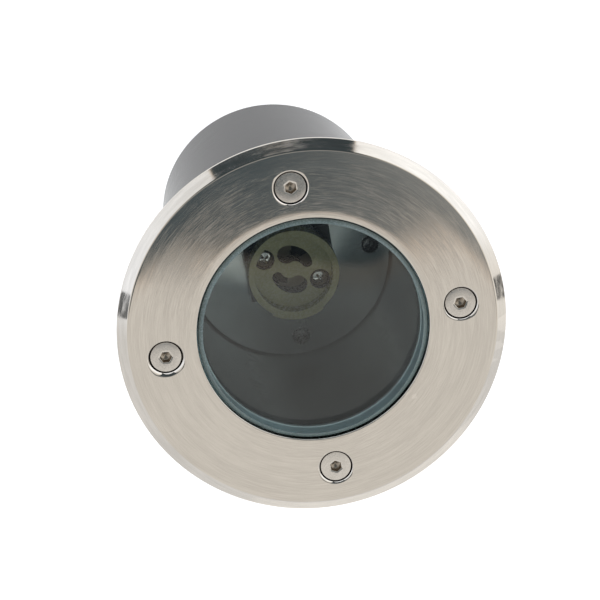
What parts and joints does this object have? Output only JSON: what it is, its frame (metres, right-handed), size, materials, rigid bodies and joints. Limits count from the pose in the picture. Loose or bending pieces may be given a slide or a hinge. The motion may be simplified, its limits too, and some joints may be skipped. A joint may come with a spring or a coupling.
{
  "type": "in ground well light",
  "caption": "Round recessed ground light: screwed steel trim ring with a flush glass over a deep cylindrical housing that holds a twist-lock lampholder and a bottom cable gland.",
  "frame": {"origin": "centre of the trim ring's underside, on the plane that rests on the paving, at the top of the housing's head", "axes": "+Z out of the glass along the housing's axis, +X and +Y each through a cover screw"},
  "size_m": [0.11, 0.11, 0.142],
  "materials": {
    "ring_steel": "turned stainless steel, fine circular brushing",
    "lens_glass": "clear toughened glass with a green edge",
    "silicone": "translucent grey silicone",
    "screw_steel": "stainless steel, satin",
    "housing_metal": "die-cast aluminium, satin grey",
    "plate_metal": "bright speckled aluminium",
    "dark_screws": "steel, dark",
    "zinc_screws": "zinc plated steel",
    "black_steel": "black enamelled steel sheet",
    "ceramic": "cream unglazed ceramic",
    "fibre_board": "brown insulating board",
    "contact_bronze": "phosphor bronze strip",
    "brass": "turned brass",
    "tinned_copper": "tinned copper",
    "white_nylon": "white moulded nylon",
    "black_nylon": "black moulded nylon",
    "black_rubber": "black rubber",
    "brown_insulation": "silicone wire insulation, brown",
    "blue_insulation": "silicone wire insulation, blue",
    "striped_insulation": "silicone wire insulation, green and yellow"
  },
  "bodies": {
    "housing_assembly": {"housing_head": "housing_metal", "housing_barrel": "housing_metal", "housing_floor": "housing_metal", "partition_plate": "plate_metal", "plate_screws": "dark_screws", "lamp_bracket": "black_steel", "bracket_screws": "zinc_screws", "lampholder_body": "ceramic", "lampholder_back": "fibre_board", "lampholder_screws": "zinc_screws", "live_contact": "contact_bronze", "neutral_contact": "contact_bronze", "lead_grommet": "black_rubber", "live_lead": "brown_insulation", "neutral_lead": "blue_insulation", "earth_lead": "striped_insulation", "terminal_block": "white_nylon", "terminal_clamps": "brass", "clamp_screws": "zinc_screws", "block_screws": "zinc_screws", "earth_lug": "tinned_copper", "earth_screw": "brass", "gland_body": "black_nylon", "gland_washer": "black_rubber", "gland_lock_nut": "black_nylon", "gland_seal": "black_rubber"},
    "cover": {"trim_ring": "ring_steel", "glass_lens": "lens_glass", "lens_gasket": "silicone"},
    "cover_screw_right": {"cover_screw_1": "screw_steel"},
    "cover_screw_top": {"cover_screw_2": "screw_steel"},
    "cover_screw_left": {"cover_screw_3": "screw_steel"},
    "cover_screw_bottom": {"cover_screw_4": "screw_steel"},
    "compression_nut": {"gland_nut": "black_nylon"}
  },
  "joints": [
    {"name": "cover_lift", "type": "slide", "parent": "housing_assembly", "child": "cover", "axis": [0, 0, 1], "range_m": [0, 0.06]},
    {"name": "screw_right_turn", "type": "hinge", "parent": "cover", "child": "cover_screw_right", "pos_m": [0.042, 0, 0], "axis": [0, 0, 1], "continuous": true},
    {"name": "screw_top_turn", "type": "hinge", "parent": "cover", "child": "cover_screw_top", "pos_m": [0, 0.042, 0], "axis": [0, 0, 1], "continuous": true},
    {"name": "screw_left_turn", "type": "hinge", "parent": "cover", "child": "cover_screw_left", "pos_m": [-0.042, 0, 0], "axis": [0, 0, 1], "continuous": true},
    {"name": "screw_bottom_turn", "type": "hinge", "parent": "cover", "child": "cover_screw_bottom", "pos_m": [0, -0.042, 0], "axis": [0, 0, 1], "continuous": true},
    {"name": "gland_nut_turn", "type": "hinge", "parent": "housing_assembly", "child": "compression_nut", "pos_m": [0, 0, -0.13], "axis": [0, 0, 1], "continuous": true}
  ]
}
